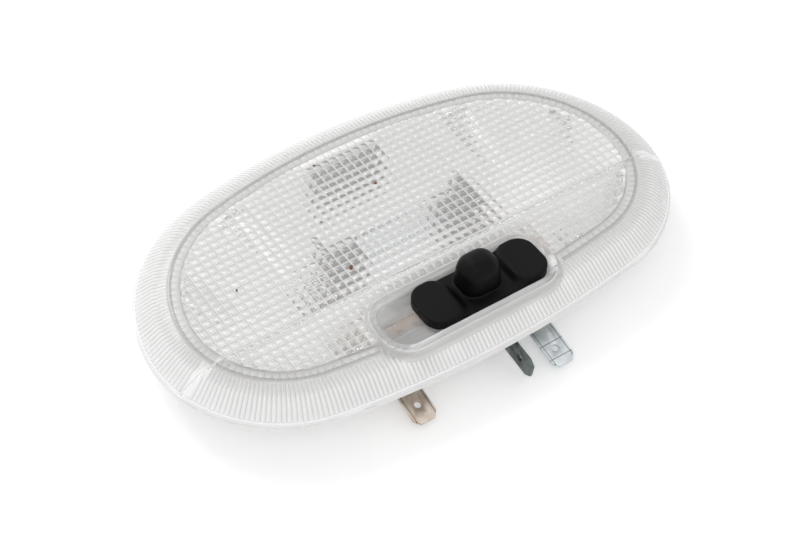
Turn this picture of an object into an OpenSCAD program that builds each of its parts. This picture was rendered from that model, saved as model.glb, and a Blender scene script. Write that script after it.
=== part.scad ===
// Interior dome light of a car, lying lens up on its back, as it would be held in the hand.
// +X runs along the lens, -Y points to the switch and the terminals, and Z = 0 is the back of the housing.
// The outline is an oval of six tangent arcs: every rim, wall and groove is an offset of it.

/* [Lens outline] */
// Half length of the clear field, inside the fluted rim
field_half_len = 61.4; // [56:0.2:66]
// Depth of the field on the side away from the switch
field_far = 36.5; // [34:0.1:40]
// Depth of the field on the switch side
field_near = 28.4; // [27.4:0.1:31]
// Corner radius on the side away from the switch
corner_far_r = 33; // [30:0.5:33]
// Corner radius on the switch side
corner_near_r = 25.6; // [22:0.2:26]
// Width of the fluted rim, seen from above
rim_w = 8.2; // [7:0.1:10]
// Radius of the rim's convex slope
rim_curve_r = 8.2; // [7.6:0.1:12]

/* [Lens] */
// Height of the lens face above the back of the housing
face_z = 16.5; // [16:0.1:20]
// Wall of the lens mouldings
lens_t = 1.8; // [1.4:0.1:2.2]
// Spacing of the small square lenslets
lenslet_pitch = 2.25; // [2:0.05:4]
// Height of a lenslet
lenslet_h = 0.45; // [0.2:0.05:0.8]
// Smooth band between the lenslets and the flutes
band_w = 2.2; // [1:0.1:4]
// Flutes on each long far arc, and about as dense on the other arcs
flutes_far = 70; // [20:1:100]
// Depth of a flute
flute_d = 0.32; // [0.1:0.02:0.5]
// Height of the lens lip's lower edge above the back
lip_z = 11.4; // [10.8:0.1:11.8]
// How far the lens lip stands outside the end of the slope
lip_w = 0.3; // [0.1:0.05:0.6]
// Distance of the joint between the two lens mouldings from the axis of the corners
seam_y = -9.4; // [-12:0.1:-8]
// Gap of that joint
seam_gap = 0.14; // [0.1:0.02:0.6]
// Smooth strip beside the joint, on each side
seam_strip = 1.1; // [0.4:0.1:2]

/* [Switch] */
// Centre of the switch slot along the lamp
slot_x = -1.1; // [-3:0.1:1]
// Centre of the switch slot across the lamp
slot_y = -22.9; // [-23.2:0.1:-22.6]
// Length of the slot
slot_len = 44; // [43.6:0.2:46]
// Width of the slot
slot_w = 14; // [13.8:0.1:14.4]
// Corner radius of the slot
slot_corner_r = 5; // [4.8:0.1:6]
// Width of the raised bezel around the slot
bezel_w = 1.9; // [1.4:0.1:2.2]
// Height of the bezel above the lens face
bezel_h = 1; // [0.6:0.1:1.6]
// Depth of the slot floor below the lens face
slot_depth = 0.8; // [0.8:0.1:1.4]
// Wall of the slot's tub
tub_t = 1.3; // [1:0.1:1.6]
// Length of the slider
slider_len = 34.2; // [32:0.2:34.4]
// Width of the slider
slider_w = 13; // [12:0.1:13.2]
// Corner radius of the slider
slider_corner_r = 4.5; // [4.3:0.1:5.5]
// Height of the slider's pads above the lens face
pad_h = 2.2; // [1.6:0.1:3]
// Depth of the finger hollow around the knob
hollow_d = 1.5; // [0.8:0.1:1.8]
// Length of the finger knob along the slider
knob_len = 10; // [8:0.2:12]
// Depth of the finger knob across the slider
knob_w = 8.4; // [7:0.2:10]
// Height of the finger knob above the lens face
knob_h = 9; // [6:0.2:10]
// How far the finger knob stands behind the slider's middle
knob_back = 1; // [0:0.1:1.1]
// Travel from the right-hand stop to the left-hand stop
travel = 9; // [7:0.5:9]
// Length of the slider's stem
stem_len = 6; // [5:0.5:8]
// Width of the slider's stem
stem_w = 3; // [2.4:0.1:3.6]
// Clearance of the sliding pieces
slide_gap = 0.3; // [0.2:0.05:0.4]

/* [Housing] */
// Wall of the housing
wall_t = 1.8; // [1.5:0.1:2.2]
// How far the housing's wall stands inside the field outline
wall_in = 1; // [0.6:0.1:1.6]
// Height of the flange's seating face above the back
flange_z = 10.2; // [9.6:0.1:10.4]
// How far the flange shows outside the lens lip
flange_show = 0.5; // [0.3:0.1:0.8]
// Thickness of the sloping brim under the lens rim
brim_t = 1.5; // [1.2:0.1:1.6]
// Space between the lens moulding and the brim under it
nest_gap = 0.3; // [0.2:0.05:0.5]
// Thickness of the ribs
rib_t = 1.4; // [1:0.1:1.8]
// Number of stiffening ribs under the brim
brim_ribs = 20; // [12:2:28]
// Bore of the vent in the floor
vent_d = 5.5; // [4.4:0.1:7]
// Place of the vent along the lamp
vent_x = 27.5; // [26:0.5:29]
// Place of the vent across the lamp
vent_y = 20; // [18:0.5:21]

/* [Bulb] */
// Centre of the bulb along the lamp
bulb_x = 0.4; // [0:0.1:1]
// Centre of the bulb across the lamp
bulb_y = 6.8; // [6:0.1:8]
// Height of the bulb's axis above the back
bulb_z = 8; // [7.8:0.1:8.4]
// Length of the bulb over its tips
bulb_len = 41; // [38:0.5:42]
// Diameter of the glass
glass_d = 10.5; // [9:0.1:10.8]
// Wall of the glass
glass_t = 0.6; // [0.4:0.05:0.8]
// Diameter of the caps
cap_d = 8.5; // [8:0.1:8.8]
// Length of a cap without its tip
cap_len = 6; // [5:0.2:7]
// Length of the conical tip
tip_len = 2.2; // [1.6:0.1:2.6]
// Sheet of the bulb's spring contacts
spring_t = 0.5; // [0.3:0.05:0.6]
// Width of the bulb's spring contacts
spring_w = 11; // [9:0.5:12]

/* [Terminals] */
// Sheet of the contact strips
strip_t = 0.8; // [0.6:0.05:0.9]
// Width of a terminal blade
blade_w = 6.3; // [4.8:0.1:6.3]
// Hole in a terminal blade
blade_hole_d = 1.8; // [1.4:0.1:2]
// Distance of that hole from the tip
blade_hole_back = 4.6; // [4:0.1:5]
// Length of the supply blade outside the housing
supply_blade_len = 12.4; // [10:0.2:13]
// Length of the earth blade outside the housing
earth_blade_len = 16.2; // [14:0.2:17]
// Length of the door blade outside the housing
door_blade_len = 16.4; // [14:0.2:17]
// Droop of the supply blade
supply_tilt = 13; // [10:1:14]
// Droop of the earth blade
earth_tilt = 11; // [8:1:12]
// Place of the supply blade along the lamp
supply_x = -22.3; // [-23:0.1:-21.8]
// Place of the door blade along the lamp
door_x = 4.9; // [4.5:0.1:5.5]
// Place of the earth blade along the lamp
earth_x = 14.3; // [14:0.1:15]
// Height of the blades where they leave the housing
blade_z = 4.8; // [4.4:0.1:5.2]
// Height of the rails that the wiper runs on
rail_z = 8.6; // [8.2:0.1:8.8]
// Width of the rails
rail_w = 3.6; // [3:0.1:3.8]

/* [Springs] */
// Lead-in of a bulb contact, beyond its plate
lead_in = 1.6; // [1:0.1:2]
// Foot of a bulb contact, beyond the rivet's axis
foot_len = 3; // [2.8:0.1:4]
// Distance of the rivets' axes from the bulb contacts
rivet_back = 4.4; // [4:0.1:6]

/* [Roof clip] */
// Place of the roof clip along the lamp
clip_x = 1.5; // [0:0.5:3]
// Width of the roof clip
clip_w = 20; // [16:0.5:22]
// Sheet of the roof clip
clip_t = 0.6; // [0.4:0.05:0.8]
// Reach of the roof clip's tongue outside the wall
clip_reach = 4.4; // [3:0.1:5]
// Height of the roof clip's inner leg above the back
clip_foot_z = 4; // [3:0.1:5]

/* [Hidden] */
$fn = 64;
eps = 0.01;
embed = 0.4;
seat_gap = 0.05;

// Tangent arcs: the long arcs follow from the half length, the depth and the corner radius.
function long_arc_r(depth, corner) =
    (pow(field_half_len - corner, 2) + depth * depth - corner * corner) / (2 * (depth - corner));
far_r = long_arc_r(field_far, corner_far_r);
near_r = long_arc_r(field_near, corner_near_r);
far_turn = atan2(far_r - field_far, field_half_len - corner_far_r);
near_turn = atan2(near_r - field_near, field_half_len - corner_near_r);

// Each arc of the outline: centre, radius, first and last direction of its outward normal.
ARCS = [
    [[field_half_len - corner_far_r, 0], corner_far_r, 0, far_turn],
    [[0, field_far - far_r], far_r, far_turn, 180 - far_turn],
    [[corner_far_r - field_half_len, 0], corner_far_r, 180 - far_turn, 180],
    [[corner_near_r - field_half_len, 0], corner_near_r, 180, 180 + near_turn],
    [[0, near_r - field_near], near_r, 180 + near_turn, 360 - near_turn],
    [[field_half_len - corner_near_r, 0], corner_near_r, 360 - near_turn, 360]
];
function arc_of(phi) = [for (a = ARCS) if (phi >= a[2] && phi < a[3]) a][0];
function rim_point(phi, w) = let (a = arc_of(phi)) a[0] + (a[1] + w) * [cos(phi), sin(phi)];

// Directions of the outward normal round the outline: every second one runs along the bottom of a flute.
function arc_len(a) = (a[1] + rim_w / 2) * (a[3] - a[2]);
function arc_flutes(a) = 4 * max(1, round(flutes_far * arc_len(a) / arc_len(ARCS[1]) / 4));
NORMALS = [for (a = ARCS, n = [2 * arc_flutes(a)], i = [0 : n - 1]) a[2] + (a[3] - a[2]) * i / n];
function some_normals(every) = [for (i = [0 : every : len(NORMALS) - 1]) NORMALS[i]];
function outline(w, every = 8) = [for (phi = some_normals(every)) rim_point(phi, w)];
function ring_at(w, z, every = 8) = [for (p = outline(w, every)) [p[0], p[1], z]];
// Half length of an offset of the outline at a place on the switch side of the corners' axis
function half_len_at(y, w) =
    field_half_len - corner_near_r + sqrt(pow(corner_near_r + w, 2) - y * y);

// Slope of the lens rim, and the levels that follow from it
function drop(w) = w <= 0 ? 0 : w * w / (2 * rim_curve_r);
SLOPE = [0, 2, 4, 6];
lens_under_z = face_z - lens_t;
lip_out = rim_w + lip_w;
flange_out = lip_out + flange_show;
brim_end = rim_w - lens_t;
wall_out = -wall_in;
wall_mid = -wall_in - wall_t / 2;
wall_inner = -wall_in - wall_t;
floor_z = wall_t;

slot_floor_z = face_z - slot_depth;
tub_under_z = slot_floor_z - tub_t;
slider_x = slot_x + (slot_len - slider_len) / 2 - 0.5;
stem_clear = 2 * slide_gap;
slit_len = stem_len + travel + stem_clear;
slit_w = stem_w + stem_clear;
carrier_top_z = tub_under_z - slide_gap;
carrier_t = 2.2;
carrier_len = 14;
carrier_w = 8;
wiper_t = 0.3;

cap_in_x = bulb_len / 2 - tip_len - cap_len;
glass_end_x = cap_in_x + 0.8;
tip_base_r = 3.2;
tip_end_r = 1;
contact_x = bulb_len / 2 - 0.9;
cup_r = tip_end_r + (tip_base_r - tip_end_r) * 0.9 / tip_len;
rivet_x = contact_x + rivet_back;
rivet_d = 2.4;
head_d = 4.6;
head_t = 0.8;
foot_z = floor_z + strip_t;

wall_face_y = wall_in - field_near;
wall_back_y = wall_face_y + wall_t;
web_y = wall_back_y + 0.2 + strip_t / 2;
pad_front_y = web_y + 0.3 + strip_t / 2;
pad_back_y = pad_front_y + rail_w;
rail_front_y = pad_back_y + 1.4;
rail_back_y = rail_front_y + rail_w;
pad_mid_y = (pad_front_y + pad_back_y) / 2;
rail_mid_y = (rail_front_y + rail_back_y) / 2;
carrier_y = (pad_mid_y + rail_mid_y) / 2;
rail_under_z = rail_z - strip_t;
on_pad_x = [slider_x - 2.4, earth_x + blade_w / 2];
door_pad_x = [slider_x - travel - 2.8, slider_x - travel + 2.4];
common_x = bulb_x + rivet_x;
rail_left_x = slot_x - slot_len / 2 + 4;
door_z = blade_z + 1.4;
door_tilt = 8;
web_top_z = rail_under_z - 0.5;

BULB_LUGS = [28, 77, 103, 152];
SWITCH_LUGS = [220, 262.8, 277.2, 320];
LUG_LEN = 5;
lug_z = 11.2;
lug_h = 1.5;
tab_t = 0.9;
tab_w = wall_inner - slide_gap - tab_t;
RAIL_RIBS = [
    rail_left_x + 4, (door_pad_x[0] + door_pad_x[1]) / 2, (on_pad_x[0] + on_pad_x[1]) / 2,
    common_x - blade_w / 2 - 2 * rib_t
];
TONGUES = [205, 335];

module at_rim(phi, w) {
    p = rim_point(phi, w);
    translate([p[0], p[1], 0]) rotate([0, 0, phi]) children();
}

// Triangles between two rings of points, of which one may have several points to each point of the other
function zip(a0, na, b0, nb) =
    let (n = max(na, nb), every = n / min(na, nb))
    na == nb ? [for (i = [0 : n - 1], j = [(i + 1) % n], f = [0, 1])
        f == 0 ? [a0 + i, a0 + j, b0 + j] : [a0 + i, b0 + j, b0 + i]]
    : let (near = [for (i = [0 : n - 1]) floor((i + every / 2) / every) % min(na, nb)])
    na > nb ? concat(
        [for (i = [0 : n - 1]) [a0 + i, a0 + (i + 1) % n, b0 + near[i]]],
        [for (i = [every / 2 : every : n - 1]) [a0 + i, b0 + near[i], b0 + near[i - 1]]])
    : concat(
        [for (i = [0 : n - 1]) [a0 + near[i], b0 + (i + 1) % n, b0 + i]],
        [for (i = [every / 2 : every : n - 1]) [a0 + near[i - 1], a0 + near[i], b0 + i]]);

// Solid through a list of rings, from an upper face outwards, down and back in to a lower face
module ringed(rings) {
    function before(k) = k == 0 ? 0 : len(rings[k - 1]) + before(k - 1);
    last = len(rings) - 1;
    polyhedron(
        points = [for (r = rings, p = r) p],
        faces = concat(
            [[for (i = [len(rings[0]) - 1 : -1 : 0]) i]],
            [for (k = [0 : last - 1], f = zip(before(k), len(rings[k]), before(k + 1), len(rings[k + 1]))) f],
            [[for (i = [0 : len(rings[last]) - 1]) before(last) + i]]
        )
    );
}

module oval_slab(w, z, h, every = 8) {
    translate([0, 0, z]) linear_extrude(h) polygon(outline(w, every));
}

module rounded_bar(len, w, r, z, h, x = 0, y = 0) {
    translate([x, y, z]) linear_extrude(h) union() {
        square([len - 2 * r, w], center = true);
        if (w > 2 * r + eps) {
            square([len, w - 2 * r], center = true);
            for (sx = [-1, 1], sy = [-1, 1]) translate([sx * (len / 2 - r), sy * (w / 2 - r)]) circle(r);
        } else {
            for (sx = [-1, 1]) translate([sx * (len / 2 - r), 0]) circle(r);
        }
    }
}

// Lens

function near_seam(phi) = abs(rim_point(phi, rim_w / 2)[1] - seam_y) < seam_strip;
function flute_ring(w, z) = [for (i = [0 : len(NORMALS) - 1])
    let (p = rim_point(NORMALS[i], w))
    [p[0], p[1], z - (i % 2 == 1 && !near_seam(NORMALS[i]) ? flute_d : 0)]];

// Both lens mouldings as one shell, still without the lenslets
module lens_shell() {
    step_w = brim_end + nest_gap;
    ringed(concat(
        [ring_at(-band_w, face_z, 4)],
        [for (w = [0.3, rim_w / 2, rim_w]) flute_ring(w, face_z - drop(w))],
        [ring_at(lip_out, lip_z, 4), ring_at(step_w, lip_z)],
        [for (w = concat([step_w], reversed(SLOPE))) ring_at(w, lens_under_z - drop(w))]
    ));
}

// Sheet of small four-sided lenslets, cut to the field by the smooth band
module lenslets() {
    nx = ceil(field_half_len / lenslet_pitch);
    ny0 = -ceil(field_near / lenslet_pitch);
    ny1 = ceil(field_far / lenslet_pitch);
    cols = 2 * nx + 1;
    rows = ny1 - ny0 + 1;
    base_z = face_z - embed;
    valley_z = face_z + 0.04;
    corners = [for (j = [ny0 : ny1], i = [-nx : nx]) [i * lenslet_pitch, j * lenslet_pitch, valley_z]];
    tips = [for (j = [ny0 : ny1 - 1], i = [-nx : nx - 1])
        [(i + 0.5) * lenslet_pitch, (j + 0.5) * lenslet_pitch, valley_z + lenslet_h]];
    under = [for (y = [ny0, ny1], x = [-nx, nx]) [x * lenslet_pitch, y * lenslet_pitch, base_z]];
    t0 = cols * rows;
    u0 = t0 + (cols - 1) * (rows - 1);
    intersection() {
        polyhedron(
            points = concat(corners, tips, under),
            faces = concat(
                [for (j = [0 : rows - 2], i = [0 : cols - 2], f = [0 : 3])
                    let (a = j * cols + i, ring = [a, a + 1, a + 1 + cols, a + cols])
                    [t0 + j * (cols - 1) + i, ring[(f + 1) % 4], ring[f]]],
                [concat([for (i = [0 : cols - 1]) i], [u0 + 1, u0])],
                [concat([for (i = [cols - 1 : -1 : 0]) (rows - 1) * cols + i], [u0 + 2, u0 + 3])],
                [concat([for (j = [rows - 1 : -1 : 0]) j * cols], [u0, u0 + 2])],
                [concat([for (j = [0 : rows - 1]) j * cols + cols - 1], [u0 + 3, u0 + 1])],
                [[u0, u0 + 1, u0 + 3, u0 + 2]]
            )
        );
        oval_slab(-band_w - embed, base_z - 1, 3);
    }
}

module lens_skin() {
    lens_shell();
    lenslets();
}

// Snap tabs that reach down inside the housing's wall
module snap_tab(phi) {
    at_rim(phi, tab_w) {
        hull() {
            translate([0, -LUG_LEN / 2 - 0.6, lens_under_z - eps]) cube([tab_t, LUG_LEN + 1.2, 0.2]);
            translate([0, -LUG_LEN / 2, lug_z - 0.6]) cube([tab_t, LUG_LEN, 0.2]);
        }
        hull() {
            translate([tab_t - 0.1, -LUG_LEN / 2, lug_z + lug_h - 0.1]) cube([1, LUG_LEN, 0.1]);
            translate([tab_t - 0.1, -LUG_LEN / 2, lug_z - 0.6]) cube([0.1, LUG_LEN, lug_h]);
        }
    }
}

module half_plane(side) {
    reach = 2 * field_half_len;
    y0 = seam_y + side * seam_gap / 2;
    translate([-reach, side > 0 ? y0 : y0 - reach, -1]) cube([2 * reach, reach, 2 * face_z]);
}

module bulb_cover() {
    color("whitesmoke") union() {
        intersection() {
            lens_skin();
            half_plane(1);
        }
        for (phi = BULB_LUGS) snap_tab(phi);
    }
}

module switch_cover() {
    bezel_z = face_z - 1.2;
    color("whitesmoke") union() {
        difference() {
            union() {
                intersection() {
                    lens_skin();
                    half_plane(-1);
                }
                rounded_bar(slot_len + 2 * bezel_w, slot_w + 2 * bezel_w, slot_corner_r + bezel_w,
                    bezel_z, face_z + bezel_h - bezel_z, slot_x, slot_y);
                rounded_bar(slot_len + 2 * tub_t, slot_w + 2 * tub_t, slot_corner_r + tub_t,
                    tub_under_z, face_z - tub_under_z, slot_x, slot_y);
            }
            rounded_bar(slot_len, slot_w, slot_corner_r, slot_floor_z, face_z, slot_x, slot_y);
            translate([slider_x - travel - stem_len / 2 - slide_gap, slot_y - slit_w / 2, tub_under_z - 1])
                cube([slit_len, slit_w, tub_t + 2]);
        }
        for (phi = SWITCH_LUGS) snap_tab(phi);
    }
}

// Switch: the slider, the carrier that its stem snaps into, and the wiper under it

// Height of the slider's top along its length, from its centre: flat pads, and a hollow that the knob stands in
function slider_top(x) =
    let (u = abs(x) - knob_len / 2 - 1.4, slope = 2.8)
    pad_h - hollow_d * (u < 0 ? 1 : u < slope ? (1 + cos(180 * u / slope)) / 2 : 0);

module switch_slider() {
    base_z = slot_floor_z + slide_gap;
    color("#17181a") union() {
        intersection() {
            rounded_bar(slider_len, slider_w, slider_corner_r, base_z, 2 * face_z, slider_x, slot_y);
            translate([slider_x, slot_y + slider_w / 2 + 1, 0]) rotate([90, 0, 0])
                linear_extrude(slider_w + 2) polygon(concat(
                    [[-slider_len, base_z - 1], [slider_len, base_z - 1]],
                    [[slider_len, face_z + pad_h]],
                    [for (i = [12 : -1 : -12]) [i * 0.8, face_z + slider_top(i * 0.8)]],
                    [[-slider_len, face_z + pad_h]]
                ));
        }
        finger_knob();
        translate([slider_x - stem_len / 2, slot_y - stem_w / 2, carrier_top_z - carrier_t + slide_gap])
            cube([stem_len, stem_w, base_z - carrier_top_z + carrier_t]);
    }
}

module finger_knob() {
    round_r = 2;
    foot = slot_floor_z + 2 * slide_gap;
    translate([slider_x, slot_y + knob_back, 0]) hull() {
        translate([0, 0, foot]) linear_extrude(0.2)
            square([knob_len + 1, knob_w + 2.4], center = true);
        for (sx = [-1, 1], sy = [-1, 1])
            translate([sx * (knob_len / 2 - round_r - 0.8), sy * (knob_w / 2 - round_r - 0.8),
                face_z + knob_h - round_r]) sphere(round_r + 0.001, $fn = 24);
        translate([0, 0, face_z + knob_h / 2]) linear_extrude(0.2)
            circle(knob_len / 2 - 0.4, $fn = 28);
    }
}

module contact_carrier() {
    color("gainsboro") difference() {
        translate([slider_x - carrier_len / 2, carrier_y - carrier_w / 2, carrier_top_z - carrier_t])
            cube([carrier_len, carrier_w, carrier_t]);
        translate([slider_x - stem_len / 2 - 0.05, slot_y - stem_w / 2 - 0.05, carrier_top_z - carrier_t - 1])
            cube([stem_len + 0.1, stem_w + 0.1, carrier_t + 2]);
    }
}

// Closed outline of a bent sheet: its middle line, offset by half its thickness on both sides
function unit(v) = v / norm(v);
function left_of(v) = [-v[1], v[0]];
function sheet_side(path, t, side) = [for (i = [0 : len(path) - 1])
    let (
        a = i > 0 ? left_of(unit(path[i] - path[i - 1])) : left_of(unit(path[1] - path[0])),
        b = i < len(path) - 1 ? left_of(unit(path[i + 1] - path[i])) : a
    )
    path[i] + side * (t / 2) * (a + b) / (1 + a * b)];
function reversed(list) = [for (i = [len(list) - 1 : -1 : 0]) list[i]];

// A sheet whose side view in Y and Z is path, and whose width runs along X
module bent_sheet(path, t, x, width) {
    translate([x - width / 2, 0, 0]) rotate([90, 0, 90]) linear_extrude(width)
        polygon(concat(sheet_side(path, t, -1), reversed(sheet_side(path, t, 1))));
}

module wiper() {
    top = carrier_top_z - carrier_t - wiper_t / 2;
    low = rail_z + 0.2 + wiper_t;
    color("darkgoldenrod") bent_sheet([
        [pad_mid_y - 1.5, low + 0.3], [pad_mid_y - 0.4, low], [pad_mid_y + 0.4, low], [pad_mid_y + 1.7, top],
        [rail_mid_y - 1.7, top], [rail_mid_y - 0.4, low], [rail_mid_y + 0.4, low], [rail_mid_y + 1.5, low + 0.3]
    ], wiper_t, slider_x, 3);
}

// Bulb: a festoon lamp on an axis along X

module along_bulb() {
    translate([bulb_x, bulb_y, bulb_z]) rotate([0, 90, 0]) children();
}

module bulb_glass() {
    neck_r = cap_d / 2 - 0.6;
    shoulder = 2.3;
    lead_r = 0.5;
    side = [[lead_r, glass_end_x], [neck_r, glass_end_x], [neck_r, cap_in_x], [glass_d / 2 - 0.6, cap_in_x - shoulder * 0.5],
        [glass_d / 2, cap_in_x - shoulder]];
    core = [[lead_r, glass_end_x - glass_t], [neck_r - glass_t, cap_in_x],
        [glass_d / 2 - 0.6 - glass_t, cap_in_x - shoulder * 0.5], [glass_d / 2 - glass_t, cap_in_x - shoulder]];
    color("aliceblue") along_bulb() rotate_extrude() polygon(concat(
        side, [for (p = reversed(side)) [p[0], -p[1]]],
        [for (p = core) [p[0], -p[1]]], reversed(core)
    ));
}

module bulb_cap(side) {
    color("silver") along_bulb() mirror([0, 0, side < 0 ? 1 : 0]) rotate_extrude() polygon([
        [0, bulb_len / 2], [0, cap_in_x + cap_len - 0.4], [cap_d / 2 - 0.4, cap_in_x + cap_len - 0.4],
        [cap_d / 2 - 0.4, cap_in_x], [cap_d / 2, cap_in_x], [cap_d / 2, cap_in_x + cap_len - 0.5],
        [cap_d / 2 - 0.5, cap_in_x + cap_len], [tip_base_r, cap_in_x + cap_len], [tip_end_r, bulb_len / 2]
    ]);
}
module bulb_cap_left() { bulb_cap(-1); }
module bulb_cap_right() { bulb_cap(1); }

filament_half = 6.5;
module filament() {
    color("dimgray") along_bulb() cylinder(r = 0.4, h = 2 * filament_half, center = true);
}

module filament_supports() {
    color("gray") along_bulb() for (side = [0, 1]) mirror([0, 0, side])
        translate([0, 0, filament_half]) cylinder(r = 0.3, h = cap_in_x + cap_len - 0.4 - filament_half);
}

// Contacts and strips

module bulb_contact(side) {
    x0 = bulb_x + side * contact_x;
    top = lens_under_z - 0.8;
    color("slategray") difference() {
        translate([x0, bulb_y + spring_w / 2, 0]) rotate([90, 0, 0]) mirror([side < 0 ? 1 : 0, 0, 0])
            linear_extrude(spring_w) {
                path = [[lead_in, top], [spring_t / 2, top - 1.5 * lead_in], [spring_t / 2, foot_z + spring_t / 2],
                    [rivet_back + foot_len, foot_z + spring_t / 2]];
                polygon(concat(sheet_side(path, spring_t, -1), reversed(sheet_side(path, spring_t, 1))));
            }
        translate([x0 - side * 1, bulb_y, bulb_z]) rotate([0, side * 90, 0]) cylinder(r = cup_r, h = 3);
        translate([bulb_x + side * rivet_x, bulb_y, floor_z]) cylinder(d = rivet_d + 0.1, h = 4);
    }
}
module left_bulb_contact() { bulb_contact(-1); }
module right_bulb_contact() { bulb_contact(1); }

// Flat terminal blade that points along -Y from its root
module blade(length) {
    tip = 1.3;
    translate([0, 0, -strip_t / 2]) linear_extrude(strip_t) difference() {
        polygon([
            [-blade_w / 2, 0], [-blade_w / 2, tip + 0.3 - length], [tip - blade_w / 2, -length],
            [blade_w / 2 - tip, -length], [blade_w / 2, tip + 0.3 - length], [blade_w / 2, 0]
        ]);
        translate([0, blade_hole_back - length]) circle(d = blade_hole_d);
    }
}

module drooping_blade(x, length, tilt) {
    root_y = wall_face_y - 0.4;
    translate([x, root_y, blade_z]) {
        rotate([tilt, 0, 0]) blade(length);
        translate([-blade_w / 2, 0, 0]) rotate([0, 90, 0]) cylinder(d = strip_t, h = blade_w);
    }
}

module supply_strip() {
    back_y = bulb_y + spring_w / 2;
    color("rosybrown") difference() {
        union() {
            bent_sheet([
                [back_y, floor_z + strip_t / 2], [seam_y - 3, floor_z + strip_t / 2],
                [seam_y - 6.5, blade_z], [wall_face_y - 0.4, blade_z]
            ], strip_t, supply_x, blade_w);
            drooping_blade(supply_x, supply_blade_len, supply_tilt);
        }
        translate([bulb_x - rivet_x, bulb_y, 0]) cylinder(d = rivet_d + 0.1, h = 2 * floor_z);
    }
}

module common_strip() {
    back_y = bulb_y + spring_w / 2;
    color("peru") difference() {
        union() {
            bent_sheet([
                [back_y, floor_z + strip_t / 2], [rail_back_y + 2, floor_z + strip_t / 2],
                [rail_back_y + 0.8, rail_z - strip_t / 2], [rail_front_y, rail_z - strip_t / 2]
            ], strip_t, common_x, blade_w);
            translate([rail_left_x, rail_front_y, rail_under_z])
                cube([common_x + blade_w / 2 - rail_left_x, rail_w, strip_t]);
        }
        translate([common_x, bulb_y, 0]) cylinder(d = rivet_d + 0.1, h = 2 * floor_z);
    }
}

module earth_strip() {
    color("lightsteelblue") union() {
        bent_sheet([
            [wall_face_y - 0.4, blade_z], [pad_front_y + strip_t / 2, blade_z],
            [pad_front_y + strip_t / 2, rail_z - strip_t / 2], [pad_back_y, rail_z - strip_t / 2]
        ], strip_t, earth_x, blade_w);
        translate([on_pad_x[0], pad_front_y, rail_under_z])
            cube([on_pad_x[1] - on_pad_x[0], rail_w, strip_t]);
        drooping_blade(earth_x, earth_blade_len, earth_tilt);
    }
}

module door_strip() {
    web_low_z = door_z - blade_w / 2;
    pad_len = door_pad_x[1] - door_pad_x[0];
    color("darkslategray") union() {
        translate([door_pad_x[0], web_y - strip_t / 2, web_low_z])
            cube([door_x - door_pad_x[0] + strip_t / 2, strip_t, web_top_z - web_low_z]);
        translate([door_pad_x[0], web_y - strip_t / 2, web_low_z]) cube([pad_len, strip_t, rail_z - web_low_z]);
        translate([door_pad_x[0], web_y - strip_t / 2, rail_under_z])
            cube([pad_len, pad_back_y - web_y + strip_t / 2, strip_t]);
        translate([door_x - strip_t / 2, wall_face_y, web_low_z])
            cube([strip_t, web_y - wall_face_y, web_top_z - web_low_z]);
        translate([door_x, wall_face_y + 1, door_z]) rotate([door_tilt, 0, 0]) rotate([0, 90, 0])
            blade(door_blade_len);
    }
}

module strip_rivets() {
    color("silver") for (side = [-1, 1]) translate([bulb_x + side * rivet_x, bulb_y, 0]) {
        translate([0, 0, 0.1]) cylinder(d = rivet_d, h = foot_z + spring_t + 0.1);
        translate([0, 0, 0.1]) cylinder(d = head_d, h = head_t);
        translate([0, 0, foot_z + spring_t]) cylinder(d = head_d, h = head_t);
    }
}

// Spring clip through the far wall: its inner leg lies in the housing and its tongue grips the roof panel
clip_inner_y = field_far + wall_inner - 0.7 - clip_t / 2;
clip_pass_z = 11.9;
module roof_clip() {
    far_wall = field_far - wall_in;
    color("gray") bent_sheet([
        [clip_inner_y, clip_foot_z], [clip_inner_y, clip_pass_z], [far_wall + 0.2 * clip_reach, clip_pass_z],
        [far_wall + clip_reach, clip_foot_z + 3], [far_wall + clip_reach / 2, clip_foot_z + 0.6]
    ], clip_t, clip_x, clip_w);
}

// Housing

function brim_top(w) = lens_under_z - nest_gap - drop(w);

module wall_window(x0, x1, z0, z1) {
    translate([x0, wall_face_y - 2, z0]) cube([x1 - x0, wall_t + 4, z1 - z0]);
}

module brim_rib(phi) {
    foot_z = flange_z - 3;
    at_rim(phi, 0) hull() {
        translate([wall_out - embed, -rib_t / 2, foot_z]) cube([0.1, rib_t, brim_top(0) - 0.5 - foot_z]);
        translate([brim_end + embed, -rib_t / 2, flange_z + 0.1]) cube([0.1, rib_t, lip_z - flange_z - 0.3]);
    }
}

// Floor, wall, brim and flange in one, from the floor inside round to the back outside
module housing_shell() {
    foot = 0.8;
    seat_z = lip_z - seat_gap;
    profile = concat(
        [[wall_inner, floor_z], [wall_inner, brim_top(0)]],
        [for (w = SLOPE) [w, brim_top(w)]],
        [[brim_end, seat_z], [flange_out, seat_z], [flange_out, flange_z], [brim_end + 0.2, flange_z]],
        [for (w = reversed(SLOPE)) if (w > 0) [w, brim_top(w) - brim_t]],
        [[wall_out, brim_top(0) - brim_t], [wall_out, foot], [wall_out - foot, 0]]
    );
    ringed([for (p = profile) ring_at(p[0], p[1])]);
}

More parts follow.
